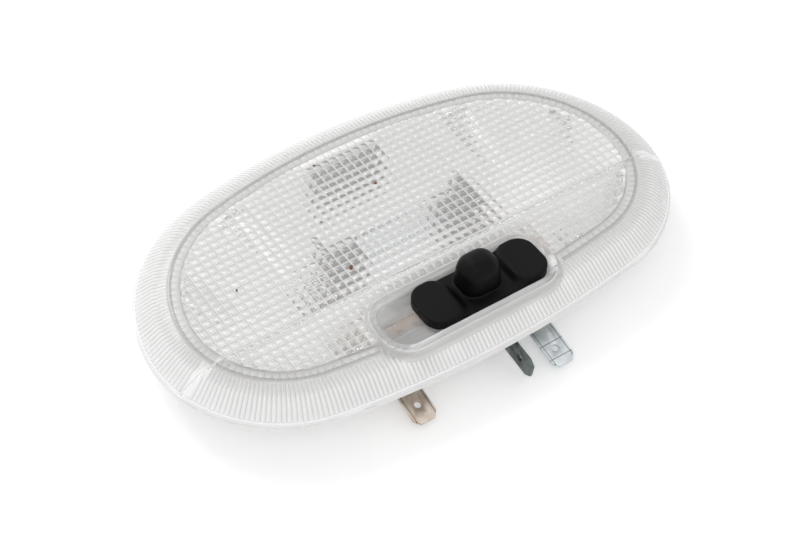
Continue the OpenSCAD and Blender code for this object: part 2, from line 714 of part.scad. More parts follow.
module housing() {
    rib_half = half_len_at(seam_y, wall_mid);
    color("white") difference() {
        union() {
            housing_shell();
            translate([-rib_half, seam_y - rib_t / 2, floor_z / 2])
                cube([2 * rib_half, rib_t, lens_under_z - floor_z / 2]);
            for (x = RAIL_RIBS) translate([x, pad_front_y, floor_z / 2])
                cube([rib_t, seam_y - pad_front_y, rail_under_z - floor_z / 2]);
            translate([supply_x - blade_w / 2, wall_back_y - 0.5, floor_z / 2])
                cube([blade_w, 4, blade_z - strip_t / 2 - floor_z / 2]);
            for (i = [0 : brim_ribs - 1]) brim_rib((i + 0.5) * 360 / brim_ribs);
            for (phi = TONGUES) at_rim(phi, wall_mid) translate([0, -4, flange_z - 3.6]) cube([5, 8, 1.4]);
            translate([vent_x, vent_y, floor_z / 2]) cylinder(d = vent_d + 3, h = 3);
        }
        translate([vent_x, vent_y, -1]) cylinder(d = vent_d, h = 8);
        for (side = [-1, 1]) translate([bulb_x + side * rivet_x, bulb_y, -1]) {
            cylinder(d = rivet_d + 0.1, h = 4);
            cylinder(d = head_d + 0.4, h = head_t + 1.1);
        }
        for (x = [supply_x, common_x]) translate([x - blade_w / 2 - 0.4, seam_y - 2, floor_z])
            cube([blade_w + 0.8, 4, 2]);
        rounded_bar(slot_len + 2 * (tub_t + slide_gap), slot_w + 2 * (tub_t + slide_gap),
            slot_corner_r + tub_t + slide_gap, tub_under_z - slide_gap, face_z, slot_x, slot_y);
        wall_window(supply_x - blade_w / 2 - 0.2, supply_x + blade_w / 2 + 0.2, blade_z - 0.6, blade_z + 0.6);
        wall_window(earth_x - blade_w / 2 - 0.2, earth_x + blade_w / 2 + 0.2, blade_z - 0.6, blade_z + 0.6);
        wall_window(door_x - 0.6, door_x + 0.6, door_z - blade_w / 2 - 0.4, door_z + blade_w / 2 + 0.4);
        translate([clip_x - clip_w / 2 - 0.2, field_far - wall_in - wall_t - 2, clip_pass_z - 0.5])
            cube([clip_w + 0.4, wall_t + 2.5, 1]);
        for (phi = concat(BULB_LUGS, SWITCH_LUGS)) at_rim(phi, wall_inner - 1)
            translate([0, -LUG_LEN / 2 - 0.4, lug_z - 0.8]) cube([wall_t + 2, LUG_LEN + 0.8, lug_h + 1]);
    }
}

housing();
bulb_cover();
switch_cover();
switch_slider();
contact_carrier();
wiper();
bulb_glass();
bulb_cap_left();
bulb_cap_right();
filament();
filament_supports();
left_bulb_contact();
right_bulb_contact();
supply_strip();
common_strip();
door_strip();
earth_strip();
strip_rivets();
roof_clip();
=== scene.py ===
import math
import random

import bmesh
import bpy
from bpy.props import FloatProperty, FloatVectorProperty, IntProperty, PointerProperty
from mathutils import Matrix, Vector


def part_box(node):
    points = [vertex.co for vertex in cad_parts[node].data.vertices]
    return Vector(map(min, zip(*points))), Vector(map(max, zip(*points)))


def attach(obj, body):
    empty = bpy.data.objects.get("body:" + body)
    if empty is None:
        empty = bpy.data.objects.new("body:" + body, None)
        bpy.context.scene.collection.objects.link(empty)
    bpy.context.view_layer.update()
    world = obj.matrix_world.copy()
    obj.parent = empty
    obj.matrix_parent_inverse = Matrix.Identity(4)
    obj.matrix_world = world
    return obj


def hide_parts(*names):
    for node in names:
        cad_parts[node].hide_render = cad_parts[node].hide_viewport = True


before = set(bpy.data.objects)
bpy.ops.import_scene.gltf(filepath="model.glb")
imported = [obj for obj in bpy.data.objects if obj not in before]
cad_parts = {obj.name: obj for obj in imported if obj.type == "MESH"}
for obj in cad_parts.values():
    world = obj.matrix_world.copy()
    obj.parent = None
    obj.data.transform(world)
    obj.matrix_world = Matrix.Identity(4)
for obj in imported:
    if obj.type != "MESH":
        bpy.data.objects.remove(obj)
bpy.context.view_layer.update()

bl_info = {
    "name": "Car dome light",
    "version": (1, 0, 0),
    "blender": (4, 5, 0),
    "location": "View3D > Sidebar > Dome light",
    "description": "Dresses the packed solids of a car dome light in their real finishes",
    "category": "Object",
}

MM = 0.001
LAMP = "lamp"
SLIDER = "slider"


# Colours and shader nodes

def linear(colour, alpha=1.0):
    """sRGB hex such as "#17181A" as the linear colour a shader socket takes."""
    channels = [int(colour[i:i + 2], 16) / 255 for i in (1, 3, 5)]
    return tuple(c / 12.92 if c <= 0.04045 else ((c + 0.055) / 1.055) ** 2.4 for c in channels) + (alpha,)


def add(tree, kind, inputs=None, **settings):
    """One shader node with its settings; an input is a plain value or another node's output."""
    node = tree.nodes.new("ShaderNode" + kind)
    for name, value in settings.items():
        setattr(node, name, value)
    for name, value in (inputs or {}).items():
        if isinstance(value, bpy.types.NodeSocket):
            tree.links.new(value, node.inputs[name])
        else:
            node.inputs[name].default_value = value
    return node


def empty_material(name):
    material = bpy.data.materials.new(name)
    material.use_nodes = True
    material.node_tree.nodes.clear()
    return material, material.node_tree


def finish_material(tree, surface):
    add(tree, "OutputMaterial", {"Surface": surface})


def object_place(tree):
    return add(tree, "TexCoord").outputs["Object"]


def noise(tree, place, size_mm, detail=3.0, roughness=0.55):
    """Noise whose lumps are about size_mm across."""
    inputs = {"Vector": place, "Scale": 1 / (size_mm * MM), "Detail": detail, "Roughness": roughness}
    return add(tree, "TexNoise", inputs).outputs["Fac"]


def ramp(tree, factor, stops):
    """Colour ramp with stops of (position, linear colour)."""
    node = add(tree, "ValToRGB", {"Fac": factor})
    band = node.color_ramp
    while len(band.elements) < len(stops):
        band.elements.new(0.5)
    for element, (position, colour) in zip(band.elements, stops):
        element.position = position
        element.color = colour
    return node.outputs["Color"]


def remap(tree, factor, low, high):
    return add(tree, "MapRange", {"Value": factor, "To Min": low, "To Max": high}).outputs["Result"]


def calculate(tree, operation, *values):
    """One step of arithmetic on two or three values or outputs."""
    return add(tree, "Math", dict(enumerate(values)), operation=operation).outputs[0]


def mix_colour(tree, factor, first, second):
    return add(tree, "Mix", {0: factor, 6: first, 7: second}, data_type="RGBA").outputs[2]


def mix_finish(tree, factor, first, second):
    return add(tree, "MixShader", {0: factor, 1: first, 2: second}).outputs["Shader"]


def bump(tree, height, depth_mm, normal=None):
    inputs = {"Height": height, "Strength": 1.0, "Distance": depth_mm * MM}
    if normal:
        inputs["Normal"] = normal
    return add(tree, "Bump", inputs).outputs["Normal"]


def seen_ray(tree):
    """1 for the rays that show a thing to the camera: straight, through clear plastic or in a reflection."""
    path = add(tree, "LightPath")
    through = calculate(tree, "MAXIMUM", path.outputs["Is Camera Ray"], path.outputs["Is Transmission Ray"])
    return calculate(tree, "MAXIMUM", through, path.outputs["Is Glossy Ray"])


def see_through_for_shadows(tree, shader, tint):
    """Lets the light of the lamps and of lit walls through a clear moulding, onto what lies under it."""
    path = add(tree, "LightPath")
    clear = add(tree, "BsdfTransparent", {"Color": tint})
    lets = calculate(tree, "MAXIMUM", path.outputs["Is Shadow Ray"], path.outputs["Is Diffuse Ray"])
    return mix_finish(tree, lets, shader, clear.outputs["BSDF"])


# Materials, each named for what the real piece is made of

def satin_white_abs(white):
    """Injection moulded white ABS: an even satin skin with faint flow clouds."""
    material, tree = empty_material("satin_white_abs")
    place = object_place(tree)
    cloud = noise(tree, place, 9, 2.0)
    skin = noise(tree, place, 0.35, 2.0)
    colour = ramp(tree, cloud, [(0.3, linear("#F1F1F0")), (0.7, white)])
    shader = add(tree, "BsdfPrincipled", {
        "Base Color": colour, "Roughness": remap(tree, skin, 0.38, 0.5), "IOR": 1.53,
        "Subsurface Weight": 0.12, "Subsurface Radius": (1.0, 0.95, 0.85), "Subsurface Scale": 0.0012,
        "Normal": bump(tree, skin, 0.01),
    })
    finish_material(tree, shader.outputs["BSDF"])
    return material


def clear_polystyrene():
    """Moulded clear polystyrene: glossy, bends light strongly. Its flutes and the lines between its
    lenslets scatter a milky light, and the middle of each lenslet shows what lies under it. The milky colour
    is painted light: painted shade in the flutes' valleys, on the lines between the lenslets and on the
    steps, and painted highlight on the flutes' crests."""
    material, tree = empty_material("clear_polystyrene")
    place = object_place(tree)
    wear = noise(tree, place, 14, 4.0)
    ripple = noise(tree, place, 3.0, 1.0)
    relief, milk, grid, grey = (add(tree, "Attribute", attribute_name=name).outputs["Fac"] for name in MARKS)
    normal = bump(tree, ripple, 0.03)
    clear = add(tree, "BsdfPrincipled", {
        "Base Color": linear("#FEFEFE"), "Roughness": remap(tree, wear, 0.06, 0.16), "IOR": 1.5,
        "Transmission Weight": 1.0, "Normal": normal,
    })
    # Painted shade and highlight on the flutes: grey towards the valleys, white on the crests.
    flute_shade_and_highlight = ramp(tree, relief, [
        (0.0, linear("#EDEDEC")), (0.2, linear("#C9C8C7")),
        (0.5, linear("#E0DFDD")), (0.75, linear("#FFFFFF")),
    ])
    # Painted shade on the lines between the lenslets, white towards their middles.
    pillow_line_shade = ramp(tree, relief, [(0.05, linear("#D6D5D3")), (0.5, linear("#FFFFFF"))])
    colour = mix_colour(tree, grid, flute_shade_and_highlight, pillow_line_shade)
    # Painted shade: the grey mark darkens the colour towards a mid grey on the steps, the band and the slope
    # round the bezel.
    colour = mix_colour(tree, grey, colour, linear("#8E8C8A"))
    flutes = calculate(tree, "MULTIPLY", relief, milk)
    milky = add(tree, "BsdfPrincipled", {
        "Base Color": colour, "Roughness": 0.25, "IOR": 1.5, "Normal": bump(tree, flutes, 0.5, normal),
    })
    lines = ramp(tree, relief, [(0.03, (0.8, 0.8, 0.8, 1)), (0.3, (0.05, 0.05, 0.05, 1))])
    share = calculate(tree, "MULTIPLY", milk, 0.7)
    share = calculate(tree, "MULTIPLY_ADD", grid, lines, share)
    share = calculate(tree, "ADD", share, 0.08)
    both = mix_finish(tree, share, clear.outputs["BSDF"], milky.outputs["BSDF"])
    finish_material(tree, see_through_for_shadows(tree, both, linear("#FCFCFC")))
    return material


def spark_black_polypropylene(black):
    """Black polypropylene from a spark-eroded mould: a fine even grain and a soft grey sheen."""
    material, tree = empty_material("spark_black_polypropylene")
    place = object_place(tree)
    grain = noise(tree, place, 0.22, 2.0, 0.7)
    rub = noise(tree, place, 5.0, 3.0)
    colour = ramp(tree, rub, [(0.35, linear("#030303")), (0.75, black)])
    shader = add(tree, "BsdfPrincipled", {
        "Base Color": colour, "Roughness": remap(tree, rub, 0.42, 0.58), "IOR": 1.49,
        "Specular IOR Level": 0.13, "Normal": bump(tree, grain, 0.025),
    })
    finish_material(tree, shader.outputs["BSDF"])
    return material


SCORE_FLAT, SCORE_EDGE = 0.04 * MM, 0.14 * MM


def sheet_metal(name, light, dark, roughness, patch_mm, scores=(), scored="#6E7679"):
    """Rolled and plated strip: lines of the rolling along it, patches where the plating has dulled, and
    scored lines, each at a place in millimetres on an axis."""
    material, tree = empty_material(name)
    place = object_place(tree)
    patch = noise(tree, place, patch_mm, 4.0, 0.6)
    along, across = 1 / (0.25 * MM), 1 / (6 * MM)
    rolled = add(tree, "Mapping", {"Vector": place, "Scale": (along, across, across)}).outputs["Vector"]
    lines = add(tree, "TexNoise", {"Vector": rolled, "Scale": 1.0, "Detail": 2.0}).outputs["Fac"]
    colour = ramp(tree, patch, [(0.32, linear(dark)), (0.62, linear(light))])
    height = lines
    for axis, middle in scores:
        away = add(tree, "SeparateXYZ", {"Vector": place}).outputs[axis]
        away = calculate(tree, "ABSOLUTE", calculate(tree, "ADD", away, -middle * MM))
        inside = add(tree, "MapRange", {
            "Value": away, "From Min": SCORE_FLAT, "From Max": SCORE_EDGE, "To Min": 1.0, "To Max": 0.0,
        }).outputs["Result"]
        colour = mix_colour(tree, inside, colour, linear(scored))
        height = calculate(tree, "SUBTRACT", height, inside)
    shader = add(tree, "BsdfPrincipled", {
        "Base Color": colour, "Metallic": 1.0, "Roughness": remap(tree, patch, roughness + 0.14, roughness),
        "Normal": bump(tree, height, 0.02),
    })
    finish_material(tree, shader.outputs["BSDF"])
    return material


def lamp_glass():
    """Thin soda glass of a festoon bulb: clear and smooth."""
    material, tree = empty_material("lamp_glass")
    ripple = noise(tree, object_place(tree), 6.0, 1.0)
    shader = add(tree, "BsdfPrincipled", {
        "Base Color": linear("#F6F8F8"), "Roughness": remap(tree, ripple, 0.01, 0.05), "IOR": 1.2,
        "Transmission Weight": 1.0,
    })
    finish_material(tree, see_through_for_shadows(tree, shader.outputs["BSDF"], linear("#FAFBFB")))
    return material


def natural_acetal():
    """Unpigmented acetal: waxy, slightly yellow, a little light goes into it."""
    material, tree = empty_material("natural_acetal")
    cloud = noise(tree, object_place(tree), 2.0)
    colour = ramp(tree, cloud, [(0.3, linear("#D6D0BE")), (0.7, linear("#E2DCCB"))])
    shader = add(tree, "BsdfPrincipled", {
        "Base Color": colour, "Roughness": 0.42, "IOR": 1.48, "Subsurface Weight": 0.2,
        "Subsurface Radius": (1.0, 0.9, 0.7), "Subsurface Scale": 0.001,
    })
    finish_material(tree, shader.outputs["BSDF"])
    return material


def settled_dirt(name, dark, light):
    """Dry rust or dust that settled in the valleys of the lens: rough and without shine."""
    material, tree = empty_material(name)
    grain = noise(tree, object_place(tree), 0.2)
    colour = ramp(tree, grain, [(0.35, linear(dark)), (0.7, linear(light))])
    shader = add(tree, "BsdfPrincipled", {
        "Base Color": colour, "Roughness": 0.9, "Normal": bump(tree, grain, 0.05),
    })
    finish_material(tree, shader.outputs["BSDF"])
    return material


def pale_paper_floor(lift):
    """Matt white studio paper, lifted to white for the camera where no shadow falls."""
    material, tree = empty_material("pale_paper_floor")
    fibre = noise(tree, object_place(tree), 2.0, 2.0)
    colour = ramp(tree, fibre, [(0.3, linear("#F3F3F3")), (0.7, linear("#F6F6F6"))])
    paper = add(tree, "BsdfDiffuse", {"Color": colour}).outputs["BSDF"]
    strength = calculate(tree, "MULTIPLY", seen_ray(tree), lift)
    glow = add(tree, "Emission", {"Color": (1, 1, 1, 1), "Strength": strength}).outputs["Emission"]
    finish_material(tree, add(tree, "AddShader", {0: paper, 1: glow}).outputs["Shader"])
    return material


# Meshes

def new_piece(name, shape, material, body, *stands_for, slot=None, sharp=35):
    """Makes an object of a bmesh, shades it smooth up to an angle, and ties it to its body and solids."""
    mesh = bpy.data.meshes.new(name)
    shape.to_mesh(mesh)
    shape.free()
    mesh.shade_smooth()
    mesh.set_sharp_from_angle(angle=math.radians(sharp))
    piece = bpy.data.objects.new(name, mesh)
    bpy.context.scene.collection.objects.link(piece)
    mesh.materials.clear()
    mesh.materials.append(material)
    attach(piece, body)
    if stands_for:
        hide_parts(*stands_for)
    return piece


def loose_object(name, shape):
    """An object that is no piece: a tool for a boolean, or the floor."""
    mesh = bpy.data.meshes.new(name)
    shape.to_mesh(mesh)
    shape.free()
    item = bpy.data.objects.new(name, mesh)
    bpy.context.scene.collection.objects.link(item)
    return item


def joined_copy(node):
    """The solid's mesh with its loose triangles joined, for a piece that shows it with smooth shading."""
    shape = bmesh.new()
    shape.from_mesh(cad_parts[node].data)
    bmesh.ops.remove_doubles(shape, verts=shape.verts, dist=2e-6)
    return shape


def round_off(shape, edges, width, segments, clamp=False):
    bmesh.ops.bevel(shape, geom=edges, offset=width, offset_type="OFFSET", segments=segments, profile=0.5,
                    affect="EDGES", clamp_overlap=clamp, material=-1)


def broken_edges(shape, width_mm, sharper_than=40):
    """Rounds every edge sharper than an angle, as stamping or moulding leaves it."""
    bmesh.ops.dissolve_limit(shape, angle_limit=math.radians(1), verts=shape.verts, edges=shape.edges)
    edges = [e for e in shape.edges if e.is_manifold and e.calc_face_angle(0) > math.radians(sharper_than)]
    round_off(shape, edges, width_mm * MM, 2, clamp=True)
    return shape


def soft_box(size, centre, edge_round, segments, taper=1.0):
    """A block with all its edges rounded, narrower towards the top by taper."""
    shape = bmesh.new()
    bmesh.ops.create_cube(shape, size=1.0)
    bmesh.ops.scale(shape, vec=size, verts=shape.verts)
    top = [v for v in shape.verts if v.co.z > 0]
    bmesh.ops.scale(shape, vec=(taper, taper, 1), verts=top)
    round_off(shape, list(shape.edges), edge_round, segments)
    bmesh.ops.translate(shape, vec=centre, verts=shape.verts)
    return shape


def wire(points, radius):
    """A round wire along points, closed at both ends."""
    curve = bpy.data.curves.new("wire", "CURVE")
    curve.dimensions = "3D"
    curve.bevel_depth = radius
    curve.bevel_resolution = 2
    curve.use_fill_caps = True
    line = curve.splines.new("POLY")
    line.points.add(len(points) - 1)
    for place, point in zip(line.points, points):
        place.co = (*point, 1)
    item = bpy.data.objects.new("wire", curve)
    bpy.context.scene.collection.objects.link(item)
    mesh = bpy.data.meshes.new_from_object(item.evaluated_get(bpy.context.evaluated_depsgraph_get()))
    bpy.data.objects.remove(item)
    shape = bmesh.new()
    shape.from_mesh(mesh)
    bpy.data.meshes.remove(mesh)
    bmesh.ops.remove_doubles(shape, verts=shape.verts, dist=1e-6)
    return shape


def dress(node, material):
    """Gives the solid itself its finish."""
    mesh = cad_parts[node].data
    mesh.materials.clear()
    mesh.materials.append(material)


# Settings and operators

class DomeLightSettings(bpy.types.PropertyGroup):
    housing_white: FloatVectorProperty(
        name="Housing white", description="Lighter tone of the housing's moulding", subtype="COLOR", size=4,
        default=linear("#F6F6F5"), min=0, max=1)
    slider_black: FloatVectorProperty(
        name="Slider black", description="Lighter tone of the slider's moulding", subtype="COLOR", size=4,
        default=linear("#060706"), min=0, max=1)
    grip_round: FloatProperty(
        name="Grip rounding", description="Radius of the finger knob's edges", default=0.0034, min=0.001,
        max=0.004, unit="LENGTH")
    coil_turns: IntProperty(
        name="Coil turns", description="Turns of the filament", default=26, min=10, max=60)
    floor_lift: FloatProperty(
        name="Floor lift", description="Light added to the floor as the camera sees it", default=0.27,
        min=0, max=1)
    lamp_strength: FloatProperty(
        name="Lamp strength", description="Factor on the power of both lamps", default=1.0, min=0, max=50)


class PieceOperator:
    bl_options = {"REGISTER", "UNDO"}


class DOME_OT_housing(PieceOperator, bpy.types.Operator):
    """White tray: the solid's own shape with smooth shading"""
    bl_idname = "dome.housing"
    bl_label = "Housing"

    def execute(self, context):
        white = satin_white_abs(context.scene.dome_light.housing_white)
        dress("housing", white)
        new_piece("housing_moulding", joined_copy("housing"), white, LAMP, "housing", slot="white_housing")
        return {"FINISHED"}


# The lenslets' pitch and the covers' heights. The lens lies on the housing, so its face is its own
# thickness higher.
PITCH = 2.25 * MM
LENS_T = 1.8 * MM
FACE_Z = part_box("housing")[1].z + LENS_T
VALLEY_Z = FACE_Z + 0.04 * MM
LENSLET_H = 0.45 * MM
BEZEL_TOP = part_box("switch_cover")[1].z
LIP_Z = FACE_Z - 5.1 * MM
LIP_DROP = 0.07 * MM

# The oval of the lenslets in millimetres: half its length, its two depths and the radii of its corners
FIELD_HALF, FIELD_FAR, FIELD_NEAR = 61.4, 36.5, 28.4
CORNER_FAR, CORNER_NEAR = 33.0, 25.6

# Half the lamp's length, its two depths, and the share of them that lies well inside the housing's wall
RIM_HALF, RIM_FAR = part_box("housing")[1].x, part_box("housing")[1].y
RIM_NEAR = -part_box("switch_cover")[0].y
INSIDE_WALL = 0.88

# The straight joint between the covers in millimetres, and how far a strip stays from its middle
SEAM_Y = (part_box("bulb_cover")[0].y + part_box("switch_cover")[1].y) / 2 / MM
SEAM_MARGIN = 0.25

# The bezel in millimetres: its middle, half length and half width, the radius of its corners, and how far
# the strips round the field reach in under its side
BEZEL_MID = (-1.1, -22.9)
BEZEL_HALF = (23.9, 8.9)
BEZEL_CORNER = 6.9
STRIP_OVERLAP = 0.2

# Middle, half length and half width in millimetres of an area a little larger than the slot
SLOT_MID = (-1.1, -23.0)
SLOT_HALF = (22.5, 7.5)

# Strips along the oval. Each row has its distance from the field's edge and its height over the face in
# millimetres, its relief and its painted shade.
BORDER = (
    (-0.55, -0.05, 0.5, 0.7), (-0.42, 0.36, 0.5, 1.0), (-0.1, 0.42, 0.5, 0.9), (0.25, 0.3, 0.5, 0.5),
    (0.7, -0.08, 0.5, 0.0),
)
# The bead along the rim's lower edge: its relief of 0.8 gives it the crests' painted white highlight.
LIP_BEAD = (
    (8.2, -4.52, 0.8, 0.0), (8.46, -4.52, 0.8, 0.0), (8.58, -4.7, 0.8, 0.0), (8.6, -4.9, 0.8, 0.0),
    (8.5, -5.1, 0.8, 0.0),
)
BORDER_MILK, LIP_MILK = 0.55, 1.0
DEGREES_A_STEP = 0.5

# The slope round the bezel. Each row has its distance from the bezel's side and its height over the
# bezel's top in millimetres, and its painted shade.
SKIRT = (
    (-0.3, 0.0, 0.0), (0.1, -0.04, 0.2), (0.4, -0.3, 0.35), (0.75, -0.8, 0.3), (1.1, -1.5, 0.2),
    (1.4, -2.4, 0.1),
)
SKIRT_MILK = 0.45
SKIRT_STEPS = 144

# The attributes that the clear finish reads: relief is 1 on a crest and 0 in a valley, and sets the
# painted shade in valleys and painted highlight on crests; milk is the share of the milky finish, grid is 1
# on the lenslets, and grey is painted shade on the steps.
MARKS = ("relief", "milk", "grid", "grey")
PILLOW_MILK, BEZEL_MILK, SLOT_MILK = 0.18, 0.4, 0.45
# The flat band round the lenslets: its milk share and its painted shade.
BAND_MILK, BAND_PAINTED_SHADE = 0.75, 0.6
TAB_MILK, TAB_RELIEF = 0.9, 0.8
LEAST_MILK = 0.35
UP_Z, SIDE_Z = 0.5, 0.4  # the height of a normal over which a face looks up, and under which it is upright


def on_lenslets(vert):
    return VALLEY_Z - 1e-6 < vert.co.z < VALLEY_Z + LENSLET_H + 1e-5


def in_slot(vert):
    away = [abs(vert.co[i] - SLOT_MID[i] * MM) < SLOT_HALF[i] * MM for i in (0, 1)]
    return all(away) and vert.co.z < FACE_Z - 1e-5


def inside_wall(vert):
    depth = RIM_FAR if vert.co.y > 0 else RIM_NEAR
    return math.hypot(vert.co.x / RIM_HALF, vert.co.y / depth) < INSIDE_WALL


def field_point(degrees, offset):
    """Point in millimetres where the outward normal of the field's oval has a direction, moved out by
    offset."""
    far = degrees < 180
    depth, corner = (FIELD_FAR, CORNER_FAR) if far else (FIELD_NEAR, CORNER_NEAR)
    reach = FIELD_HALF - corner
    long_radius = (reach * reach + depth * depth - corner * corner) / (2 * (depth - corner))
    turn = math.degrees(math.atan2(long_radius - depth, reach))
    way = Vector((math.cos(math.radians(degrees)), math.sin(math.radians(degrees))))
    up = 1 if far else -1
    from_x = degrees % 180 if far else 360 - degrees
    if turn <= from_x <= 180 - turn:
        return Vector((0, up * (depth - long_radius))) + way * (long_radius + offset)
    return Vector((reach if way.x > 0 else -reach, 0)) + way * (corner + offset)


def relief_at(vert):
    """1 on a crest, 0 in a valley and 0.5 on a flat, by how the neighbours lie."""
    rise = [vert.normal.dot((e.other_vert(vert).co - vert.co).normalized()) for e in vert.link_edges]
    bend = sum(rise) / max(1, len(rise))
    return min(1.0, max(0.0, 0.5 - 2.2 * bend))


def milk_at(vert):
    """Share of the milky finish away from the lenslets: full on the fluted slope, none underneath."""
    if vert.normal.z <= 0.05 or vert.co.z <= LIP_Z:
        return 0.0
    if in_slot(vert):
        return SLOT_MILK
    if vert.co.z > VALLEY_Z + LENSLET_H + 1e-5:
        return BEZEL_MILK
    return min(1.0, max(LEAST_MILK, (FACE_Z - 0.1 * MM - vert.co.z) / (0.8 * MM)))


def mark_relief(shape):
    """Writes the four attributes of MARKS on a cover."""
    relief, milk, grid, grey = (shape.verts.layers.float.new(name) for name in MARKS)
    shape.normal_update()
    for vert in shape.verts:
        vert[relief], vert[milk] = relief_at(vert), milk_at(vert)
        on_band = abs(vert.co.z - FACE_Z) < 0.02 * MM and vert.normal.z > UP_Z and not in_slot(vert)
        under_lens = abs(vert.normal.z) < SIDE_Z and vert.co.z < FACE_Z - 2.2 * MM
        if on_lenslets(vert) and vert.normal.z > UP_Z:
            vert[grid], vert[milk] = 1.0, PILLOW_MILK
            vert[relief] = (vert.co.z - VALLEY_Z) / LENSLET_H
        elif on_band:
            # The flat band round the lenslets gets painted shade.
            vert[milk], vert[grey] = BAND_MILK, BAND_PAINTED_SHADE
        elif under_lens and inside_wall(vert):
            vert[milk], vert[relief] = TAB_MILK, TAB_RELIEF


def pillow_lenslets(shape):
    """Divides the four flat sides of each lenslet and bulges them into a small pillow between the lines."""
    sides = [f for f in shape.faces if f.normal.z > UP_Z and all(on_lenslets(v) for v in f.verts)]
    edges = list({e for f in sides for e in f.edges})
    bmesh.ops.subdivide_edges(shape, edges=edges, cuts=2, use_grid_fill=True)
    shape.normal_update()
    for vert in shape.verts:
        if on_lenslets(vert) and any(f.normal.z > UP_Z for f in vert.link_faces):
            rise = abs(math.sin(math.pi * vert.co.x / PITCH) * math.sin(math.pi * vert.co.y / PITCH))
            vert.co.z = VALLEY_Z + LENSLET_H * rise


def lower_lip(shape):
    """Moves the rim's lower edge down a little."""
    for vert in shape.verts:
        if abs(vert.co.z - LIP_Z) < 0.01 * MM:
            vert.co.z -= LIP_DROP


def join_rings(shape, before, ring):
    """The faces between two neighbouring cross-sections of a closed strip."""
    for i, vert in enumerate(ring):
        shape.faces.new((before[i - 1], before[i], vert, ring[i - 1]))


def new_vert(shape, place, height, **marks):
    """A vertex at a place in millimetres and a height in metres, with its marks."""
    vert = shape.verts.new((place.x * MM, place.y * MM, height))
    for name, value in marks.items():
        vert[shape.verts.layers.float[name]] = value
    return vert


def add_strip(shape, far_side, rows, milk):
    """A narrow closed strip that follows the oval on one cover, broken at the seam and at the bezel."""
    before = None
    # The round starts on the other cover, so that no strip is cut where it starts.
    start = 270 if far_side else 90
    for step in range(round(360 / DEGREES_A_STEP) + 1):
        degrees = (start + step * DEGREES_A_STEP) % 360
        middle = field_point(degrees, rows[0][0])
        from_seam = middle.y - SEAM_Y
        at_bezel = all(abs(middle[i] - BEZEL_MID[i]) <= BEZEL_HALF[i] - STRIP_OVERLAP for i in (0, 1))
        if (from_seam > 0) != far_side or abs(from_seam) < SEAM_MARGIN or at_bezel:
            if before:
                shape.faces.new(before)
            before = None
            continue
        # Each vertex takes its row's relief and grey as marks: painted shade by the grey, the crests'
        # painted highlight by a high relief.
        ring = [new_vert(shape, field_point(degrees, offset), FACE_Z + rise * MM, relief=crest, milk=milk,
                         grey=shade) for offset, rise, crest, shade in rows]
        if before:
            join_rings(shape, before, ring)
        else:
            shape.faces.new(reversed(ring))
        before = ring


def add_skirt(shape):
    """Smooth slope from the bezel's top edge down to the lenslets and flutes round it."""
    reach = [half - BEZEL_CORNER for half in BEZEL_HALF]
    rings = []
    for step in range(SKIRT_STEPS):
        turn = math.tau * (step + 0.5) / SKIRT_STEPS
        way = Vector((math.cos(turn), math.sin(turn)))
        middle = Vector(BEZEL_MID) + Vector([math.copysign(reach[i], way[i]) for i in (0, 1)])
        # Each vertex takes its row's grey mark: painted shade on the slope.
        rings.append([new_vert(shape, middle + way * (BEZEL_CORNER + offset), BEZEL_TOP + rise * MM,
                               relief=0.5, milk=SKIRT_MILK, grey=shade) for offset, rise, shade in SKIRT])
    for before, ring in zip(rings[-1:] + rings[:-1], rings):
        join_rings(shape, before, ring)


class DOME_OT_lenses(PieceOperator, bpy.types.Operator):
    """Both clear mouldings"""
    bl_idname = "dome.lenses"
    bl_label = "Lenses"

    def execute(self, context):
        clear = clear_polystyrene()
        for node in ("bulb_cover", "switch_cover"):
            dress(node, clear)
            shape = joined_copy(node)
            mark_relief(shape)
            pillow_lenslets(shape)
            lower_lip(shape)
            add_strip(shape, node == "bulb_cover", BORDER, BORDER_MILK)
            add_strip(shape, node == "bulb_cover", LIP_BEAD, LIP_MILK)
            if node == "switch_cover":
                add_skirt(shape)
            new_piece(node + "_moulding", shape, clear, LAMP, node, slot="clear_lens", sharp=28)
        return {"FINISHED"}


# The slider's heights, and the sizes of its knob and of the stem under it
PAD_TOP = 18.7 * MM
BAR_FOOT = 16.0 * MM
KNOB_FOOT = 15.2 * MM
KNOB_SIZE = (10.8 * MM, 9.6 * MM)
KNOB_TAPER = 0.84
KNOB_SHIFT = 1.0 * MM
STEM_SIZE = (5.9 * MM, 2.9 * MM)
STEM_OVERLAP = 1.0 * MM
STEM_ROUND = 0.2 * MM
OUTLINE_CORNER = 4.5 * MM
SKIN_STEP = 0.2 * MM

# The finger hollow in millimetres: its half length between the pads, its depth, the length of its slope,
# and the round corners of the pads with the distance from the middle line at which they start
HOLLOW_HALF, HOLLOW_DEPTH, HOLLOW_SLOPE = 6.3, 1.6, 2.0
PAD_CORNER, PAD_CORNER_START = 3.5, 3.0


